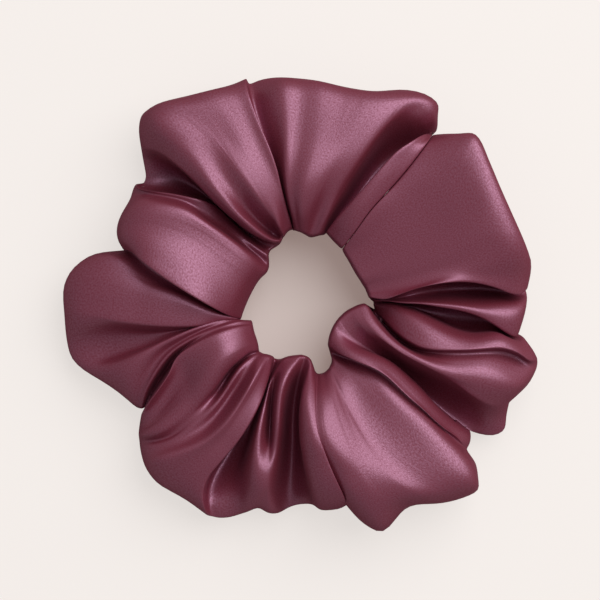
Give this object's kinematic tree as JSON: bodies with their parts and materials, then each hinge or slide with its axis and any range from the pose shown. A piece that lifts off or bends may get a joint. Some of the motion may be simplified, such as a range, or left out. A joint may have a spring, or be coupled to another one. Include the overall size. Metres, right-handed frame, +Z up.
{
  "type": "satin hair scrunchie",
  "caption": "Large satin scrunchie: a gathered fabric tube round a loop of flat elastic, lying flat in deep radial folds round an open centre.",
  "frame": {"origin": "on the table under the middle of the loop's bounding box", "axes": "+Z up from the table through the loop's hole, +X to the right and +Y to the top of the picture"},
  "size_m": [0.1496, 0.1424, 0.0345],
  "materials": {
    "satin": "dusty plum polyester satin, soft mauve sheen",
    "braided_elastic": "matte braided elastic, rubber core under polyester yarn",
    "sewing_thread": "spun polyester sewing thread"
  },
  "bodies": {
    "left_side": {"satin_cover_left": "satin", "long_seam_thread_left": "sewing_thread", "elastic_loop": "braided_elastic", "elastic_join_thread": "sewing_thread"},
    "right_side": {"satin_cover_right": "satin", "long_seam_thread_right": "sewing_thread", "closing_seam_thread": "sewing_thread"}
  },
  "joints": [
    {"name": "stretch", "type": "slide", "parent": "left_side", "child": "right_side", "axis": [1, 0, 0], "range_m": [0, 0.08], "stiffness_N_per_m": 100, "deforming": ["elastic_loop"]}
  ]
}
